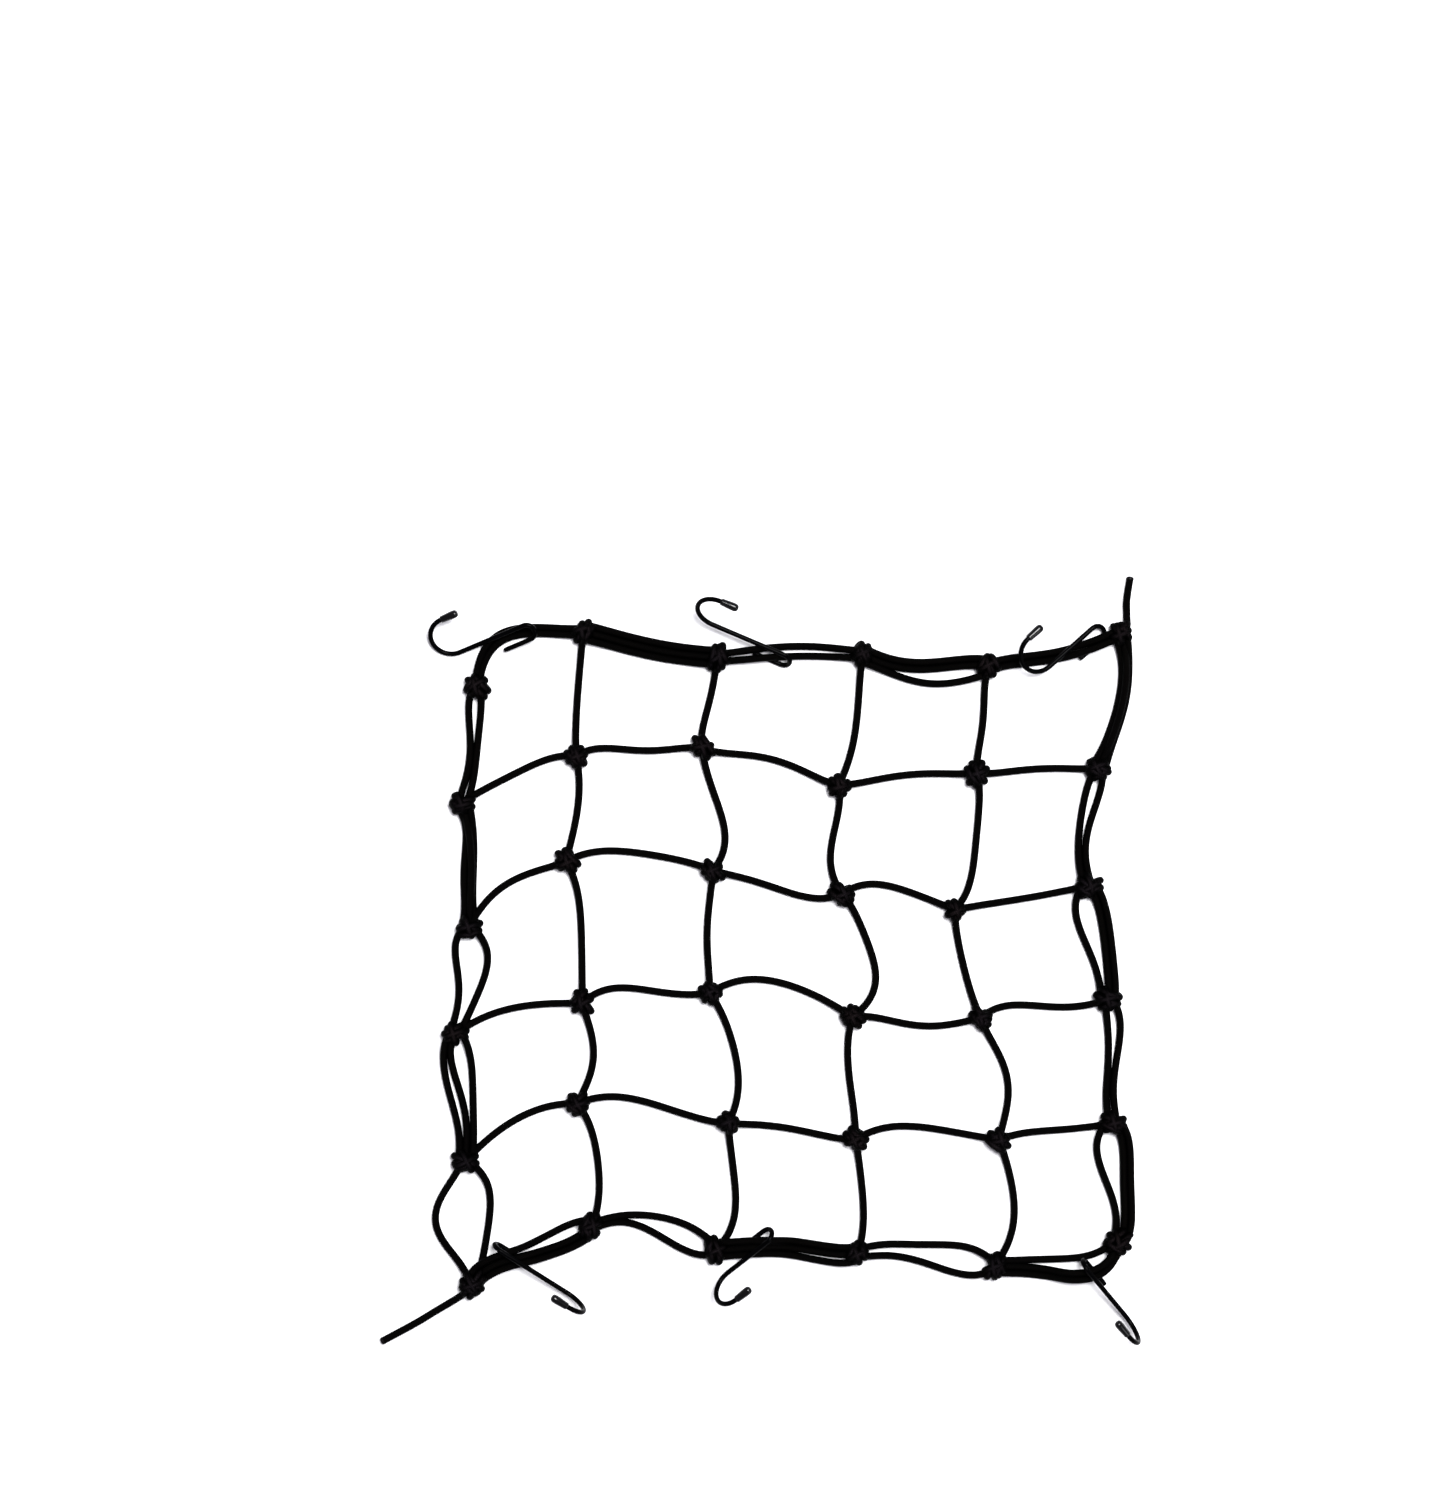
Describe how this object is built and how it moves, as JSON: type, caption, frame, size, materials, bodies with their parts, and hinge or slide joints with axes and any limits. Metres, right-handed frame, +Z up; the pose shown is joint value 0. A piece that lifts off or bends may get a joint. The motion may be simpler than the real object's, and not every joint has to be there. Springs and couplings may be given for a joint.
{
  "type": "luggage_net",
  "caption": "Black elastic cord luggage net, spread loose on a flat surface, with wire hooks that have soft tip caps clipped along its border",
  "frame": {"origin": "centre of the bottom of the part's bounding box, on the surface that the net lies on", "axes": "+Z up from the surface; +Y towards the top edge of the picture; +X towards its right edge"},
  "size_m": [0.4537, 0.4597, 0.0344],
  "materials": {
    "elastic_cord": "woven textile sheath over a rubber core, matte with a faint sheen",
    "coated_wire": "black coated steel wire, satin",
    "tip_plastic": "soft moulded plastic, slightly glossy"
  },
  "bodies": {
    "root": {"net": "elastic_cord", "hook_top_left": "coated_wire", "hook_top_middle": "coated_wire", "hook_top_right": "coated_wire", "hook_bottom_left": "coated_wire", "hook_bottom_middle": "coated_wire", "hook_bottom_right": "coated_wire", "cap_top_left": "tip_plastic", "cap_top_middle": "tip_plastic", "cap_top_right": "tip_plastic", "cap_bottom_left": "tip_plastic", "cap_bottom_middle": "tip_plastic", "cap_bottom_right": "tip_plastic"}
  },
  "joints": []
}
